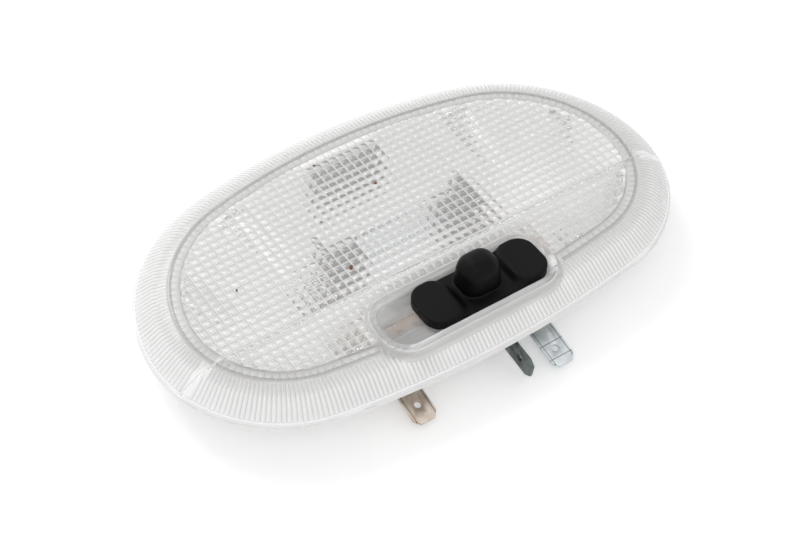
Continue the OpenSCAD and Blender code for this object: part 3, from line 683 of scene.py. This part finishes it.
def slider_bar(centre, length, width):
    """The bar as a fine grid with the finger hollow in its top, a little larger than the outline."""
    bar = bmesh.new()
    bmesh.ops.create_grid(bar, x_segments=140, y_segments=52, size=0.5)
    bmesh.ops.scale(bar, vec=(length + 2 * MM, width + 2 * MM, 1), verts=bar.verts)
    body = bmesh.ops.extrude_face_region(bar, geom=list(bar.faces))["geom"]
    for vert in (item for item in body if isinstance(item, bmesh.types.BMVert)):
        # The hollow ends at the rounded corners of the two pads.
        corner = max(0.0, abs(vert.co.y) / MM - PAD_CORNER_START)
        edge = HOLLOW_HALF + PAD_CORNER - math.sqrt(max(0.0, PAD_CORNER ** 2 - corner * corner))
        into_pad = min(1.0, max(0.0, (abs(vert.co.x) / MM - edge) / HOLLOW_SLOPE))
        dip = HOLLOW_DEPTH * 0.5 * (1 + math.cos(math.pi * into_pad))
        vert.co.z = PAD_TOP - BAR_FOOT - dip * MM
    bmesh.ops.recalc_face_normals(bar, faces=bar.faces)
    bmesh.ops.translate(bar, vec=(centre.x, centre.y, BAR_FOOT), verts=bar.verts)
    return bar


def slider_outline(centre, length, width):
    """A tall block with the slider's outline as seen from above."""
    outline = bmesh.new()
    bmesh.ops.create_cube(outline, size=1.0)
    bmesh.ops.scale(outline, vec=(length - 0.1 * MM, width - 0.1 * MM, 20 * MM), verts=outline.verts)
    upright = [e for e in outline.edges if abs(e.verts[0].co.z - e.verts[1].co.z) > MM]
    round_off(outline, upright, OUTLINE_CORNER, 12)
    bmesh.ops.translate(outline, vec=(centre.x, centre.y, PAD_TOP), verts=outline.verts)
    return outline


def joined_skin(shape, tools):
    """Cuts and joins blocks with a shape, draws one even skin over the result and softens its corners."""
    item = loose_object("slider_bar", shape)
    blocks = [(loose_object(name, block), action) for name, block, action in tools]
    for block, action in blocks:
        cut = item.modifiers.new(action, "BOOLEAN")
        cut.operation = action
        cut.object = block
        cut.solver = "EXACT"
    skin = item.modifiers.new("even_skin", "REMESH")
    skin.mode = "VOXEL"
    skin.voxel_size = SKIN_STEP
    blend = item.modifiers.new("soft_fillets", "SMOOTH")
    blend.factor = 0.5
    blend.iterations = 14
    mesh = bpy.data.meshes.new_from_object(item.evaluated_get(bpy.context.evaluated_depsgraph_get()))
    for used in [item] + [block for block, _ in blocks]:
        bpy.data.objects.remove(used)
    joined = bmesh.new()
    joined.from_mesh(mesh)
    bpy.data.meshes.remove(mesh)
    return joined


def slider_shape(grip_round):
    """The whole slider: bar with its hollow, finger knob and stem."""
    low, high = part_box("switch_slider")
    centre = (low + high) / 2
    length, width = high.x - low.x, high.y - low.y
    knob_middle = (centre.x, centre.y + KNOB_SHIFT, (high.z + KNOB_FOOT) / 2)
    knob = soft_box((*KNOB_SIZE, high.z - KNOB_FOOT), knob_middle, grip_round, 10, KNOB_TAPER)
    stem_top = BAR_FOOT + STEM_OVERLAP
    stem_middle = (centre.x, centre.y, (stem_top + low.z) / 2)
    stem = soft_box((*STEM_SIZE, stem_top - low.z), stem_middle, STEM_ROUND, 1)
    return joined_skin(slider_bar(centre, length, width), (
        ("outline", slider_outline(centre, length, width), "INTERSECT"),
        ("knob", knob, "UNION"), ("stem", stem, "UNION"),
    ))


class DOME_OT_switch(PieceOperator, bpy.types.Operator):
    """Black slider with its knob, and the carrier and wiper under it"""
    bl_idname = "dome.switch"
    bl_label = "Switch"

    def execute(self, context):
        settings = context.scene.dome_light
        black = spark_black_polypropylene(settings.slider_black)
        new_piece("slider_moulding", slider_shape(settings.grip_round), black, SLIDER, "switch_slider",
                  slot="black_slider", sharp=60)
        dress("switch_slider", black)
        acetal = natural_acetal()
        dress("contact_carrier", acetal)
        new_piece("carrier_block", broken_edges(joined_copy("contact_carrier"), 0.3), acetal, SLIDER,
                  "contact_carrier", slot="natural_carrier")
        dress("wiper", sheet_metal("phosphor_bronze", "#443627", "#261E17", 0.45, 3.0))
        return {"FINISHED"}


# Lines scored in the blades: the axis and the place on it in millimetres
SUPPLY_SCORES = (("X", -24.9), ("X", -19.7))
EARTH_SCORES = (("Y", -37.6), ("Y", -41.6), ("X", 11.7), ("X", 16.9))
STAMPED_EDGE_MM = 0.08


class DOME_OT_contacts(PieceOperator, bpy.types.Operator):
    """Stamped strips, terminals, bulb contacts, rivets and the roof clip"""
    bl_idname = "dome.contacts"
    bl_label = "Contacts"

    def execute(self, context):
        copper = sheet_metal("tinned_copper", "#E2D7CC", "#B5A497", 0.3, 4.0, SUPPLY_SCORES, "#6E5C4E")
        warm = sheet_metal("bare_copper", "#DCC4B2", "#A88E7B", 0.3, 4.0)
        dark = sheet_metal("dull_tin", "#6A7371", "#3A403F", 0.34, 3.0)
        bright = sheet_metal("bright_tin", "#D9DDDF", "#B9C0C3", 0.36, 3.0, EARTH_SCORES)
        spring = sheet_metal("zinc_spring_steel", "#625E5A", "#3B3835", 0.36, 3.0)
        nickel = sheet_metal("nickel_rivet", "#CFCDC8", "#97958F", 0.26, 2.0)
        for node, metal, slot in (
            ("supply_strip", copper, "copper_strip"), ("common_strip", warm, "copper_strip"),
            ("door_strip", dark, "dark_strip"), ("earth_strip", bright, "bright_strip"),
            ("left_bulb_contact", spring, "spring_steel"), ("right_bulb_contact", spring, "spring_steel"),
            ("roof_clip", spring, "spring_steel"), ("strip_rivets", nickel, "bright_strip"),
        ):
            dress(node, metal)
            shape = broken_edges(joined_copy(node), STAMPED_EDGE_MM)
            new_piece(node + "_stamping", shape, metal, LAMP, node, slot=slot)
        return {"FINISHED"}


CAP_EDGE_MM = 0.15
COIL_RADIUS = 0.32 * MM
COIL_WIRE = 0.07 * MM
COIL_INSET = 0.1 * MM
STEPS_A_TURN = 10


def coil_points(turns):
    """Points of a helix along X that fills the solid filament's length, in the middle of the bulb."""
    glass_low, glass_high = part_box("bulb_glass")
    low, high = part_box("filament")
    centre = (glass_low + glass_high) / 2
    start, length = low.x + COIL_INSET, high.x - low.x - 2 * COIL_INSET
    steps = turns * STEPS_A_TURN
    points = []
    for step in range(steps + 1):
        angle = math.tau * step / STEPS_A_TURN
        points.append((start + length * step / steps, centre.y + COIL_RADIUS * math.cos(angle),
                       centre.z + COIL_RADIUS * math.sin(angle)))
    return points


class DOME_OT_bulb(PieceOperator, bpy.types.Operator):
    """Festoon bulb: glass, crimped caps, filament and its wires"""
    bl_idname = "dome.bulb"
    bl_label = "Bulb"

    def execute(self, context):
        glass = lamp_glass()
        dress("bulb_glass", glass)
        new_piece("glass_tube", joined_copy("bulb_glass"), glass, LAMP, "bulb_glass", slot="lamp_glass",
                  sharp=50)
        nickel = sheet_metal("nickel_cap", "#4C4945", "#2C2A28", 0.4, 2.0)
        for node in ("bulb_cap_left", "bulb_cap_right"):
            dress(node, nickel)
            shape = broken_edges(joined_copy(node), CAP_EDGE_MM)
            new_piece(node + "_shell", shape, nickel, LAMP, node, slot="plated_caps")
        tungsten = sheet_metal("tungsten_wire", "#7A7772", "#56534E", 0.4, 1.0)
        coil = wire(coil_points(context.scene.dome_light.coil_turns), COIL_WIRE)
        new_piece("filament_coil", coil, tungsten, LAMP, "filament", slot="dark_wire")
        dress("filament", tungsten)
        dress("filament_supports", tungsten)
        return {"FINISHED"}


# x, y and height in millimetres, then the width of the speck
RUST_SPECKS = (
    (1.0, 18.0, 16.9, 1.2), (-16.8, 14.0, 16.9, 0.8), (-18.7, -2.3, 16.9, 1.4), (-8.6, 31.3, 16.9, 0.9),
)
DUST_SPECKS = ((-44.7, 6.3, 16.9, 0.8), (62.1, -18.0, 13.4, 0.5))
CRUMBS_A_SPECK = 3
CRUMB_SPREAD = 0.3
ROUGHNESS = 0.04 * MM


class DOME_OT_dirt(PieceOperator, bpy.types.Operator):
    """Few specks of rust and dust on the lens"""
    bl_idname = "dome.dirt"
    bl_label = "Dirt"

    def execute(self, context):
        rust = settled_dirt("settled_rust", "#5A3424", "#9A6A4C")
        dust = settled_dirt("settled_dust", "#1A1817", "#4A4542")
        spread = random.Random(7)
        for name, specks, finish in (("rust_specks", RUST_SPECKS, rust), ("dust_specks", DUST_SPECKS, dust)):
            shape = bmesh.new()
            for x, y, z, width in specks:
                for _ in range(CRUMBS_A_SPECK):
                    made = bmesh.ops.create_icosphere(shape, subdivisions=2, radius=width * 0.3 * MM)
                    bmesh.ops.scale(shape, vec=(1.0, 0.8, 0.35), verts=made["verts"])
                    place = Vector(((x + spread.uniform(-CRUMB_SPREAD, CRUMB_SPREAD) * width) * MM,
                                    (y + spread.uniform(-CRUMB_SPREAD, CRUMB_SPREAD) * width) * MM, z * MM))
                    bmesh.ops.translate(shape, vec=place, verts=made["verts"])
            for vert in shape.verts:
                vert.co += Vector([spread.uniform(-ROUGHNESS, ROUGHNESS) for _ in range(3)])
            new_piece(name, shape, finish, LAMP, slot="copper_strip")
        return {"FINISHED"}


# The camera of the photograph: its direction in degrees, the point it looks at and its distance in
# millimetres, and its focal length on a sensor 36 mm wide
CAMERA_AZIMUTH, CAMERA_ELEVATION, CAMERA_ROLL = -34.3, 48.6, 0.8
CAMERA_AIM = Vector((-9.0, -8.06, 16.5))
CAMERA_DISTANCE = 386.7
FOCAL_LENGTH = 74.25
KEY_WATTS, FILL_WATTS = 3.4, 1.4


def soft_lamp(name, place, aim, size, power):
    light = bpy.data.lights.new(name, "AREA")
    light.shape = "RECTANGLE"
    light.size, light.size_y = size
    light.energy = power
    item = bpy.data.objects.new(name, light)
    item.location = place
    item.rotation_euler = (Vector(aim) - Vector(place)).to_track_quat("-Z", "Y").to_euler()
    bpy.context.scene.collection.objects.link(item)


def white_surroundings(scene):
    """A white world that lights the pieces less than it shows."""
    world = bpy.data.worlds.new("studio")
    scene.world = world
    world.use_nodes = True
    tree = world.node_tree
    tree.nodes.clear()
    strength = remap(tree, seen_ray(tree), 0.7, 1.0)
    sky = add(tree, "Background", {"Color": (1, 1, 1, 1), "Strength": strength})
    add(tree, "OutputWorld", {"Surface": sky.outputs["Background"]})


def photograph_camera(scene):
    data = bpy.data.cameras.new("camera")
    data.lens = FOCAL_LENGTH
    data.sensor_width = 36
    data.clip_start = 0.01
    data.clip_end = 10
    camera = bpy.data.objects.new("camera", data)
    scene.collection.objects.link(camera)
    azimuth, elevation, roll = (math.radians(v) for v in (CAMERA_AZIMUTH, CAMERA_ELEVATION, CAMERA_ROLL))
    right = Vector((math.cos(azimuth), math.sin(azimuth), 0))
    away = Vector((math.sin(azimuth) * math.cos(elevation), -math.cos(azimuth) * math.cos(elevation),
                   math.sin(elevation)))
    rolled = right * math.cos(roll) + away.cross(right) * math.sin(roll)
    turn = Matrix((rolled, away.cross(rolled), away)).transposed().to_4x4()
    place = CAMERA_AIM * MM + away * CAMERA_DISTANCE * MM
    camera.matrix_world = Matrix.Translation(place) @ turn
    scene.camera = camera


class DOME_OT_stage(PieceOperator, bpy.types.Operator):
    """Floor, lamps, surroundings and the camera"""
    bl_idname = "dome.stage"
    bl_label = "Stage"

    def execute(self, context):
        settings = context.scene.dome_light
        shape = bmesh.new()
        bmesh.ops.create_grid(shape, x_segments=1, y_segments=1, size=3.0)
        floor = loose_object("studio_floor", shape)
        floor.data.materials.append(pale_paper_floor(settings.floor_lift))
        azimuth = math.radians(CAMERA_AZIMUTH)
        near = Vector((math.sin(azimuth), -math.cos(azimuth), 0))
        right = Vector((-near.y, near.x, 0))
        # As the camera sees it, the key lamp stands behind the dome light and to its left, and the fill
        # lamp in front of it.
        soft_lamp("key", -near * 0.6 - right * 0.5 + Vector((0, 0, 0.7)), (0, 0, 0), (0.5, 0.5),
                  KEY_WATTS * settings.lamp_strength)
        soft_lamp("fill", near * 0.6 + right * 0.05 + Vector((0, 0, 0.8)), (0, 0, 0.01), (0.6, 0.6),
                  FILL_WATTS * settings.lamp_strength)
        white_surroundings(context.scene)
        photograph_camera(context.scene)
        context.scene.view_settings.view_transform = "Standard"
        return {"FINISHED"}


OPERATORS = (
    DOME_OT_stage, DOME_OT_housing, DOME_OT_lenses, DOME_OT_switch, DOME_OT_contacts, DOME_OT_bulb,
    DOME_OT_dirt,
)


class DOME_PT_pieces(bpy.types.Panel):
    bl_label = "Dome light"
    bl_space_type = "VIEW_3D"
    bl_region_type = "UI"
    bl_category = "Dome light"

    def draw(self, context):
        for prop in DomeLightSettings.__annotations__:
            self.layout.prop(context.scene.dome_light, prop)
        for operator in OPERATORS:
            self.layout.operator(operator.bl_idname)


CLASSES = (DomeLightSettings, *OPERATORS, DOME_PT_pieces)


def register():
    for item in CLASSES:
        bpy.utils.register_class(item)
    bpy.types.Scene.dome_light = PointerProperty(type=DomeLightSettings)


def unregister():
    del bpy.types.Scene.dome_light
    for item in reversed(CLASSES):
        bpy.utils.unregister_class(item)


def main():
    register()
    for operator in OPERATORS:
        group, name = operator.bl_idname.split(".")
        getattr(getattr(bpy.ops, group), name)()


if __name__ == "__main__":
    main()
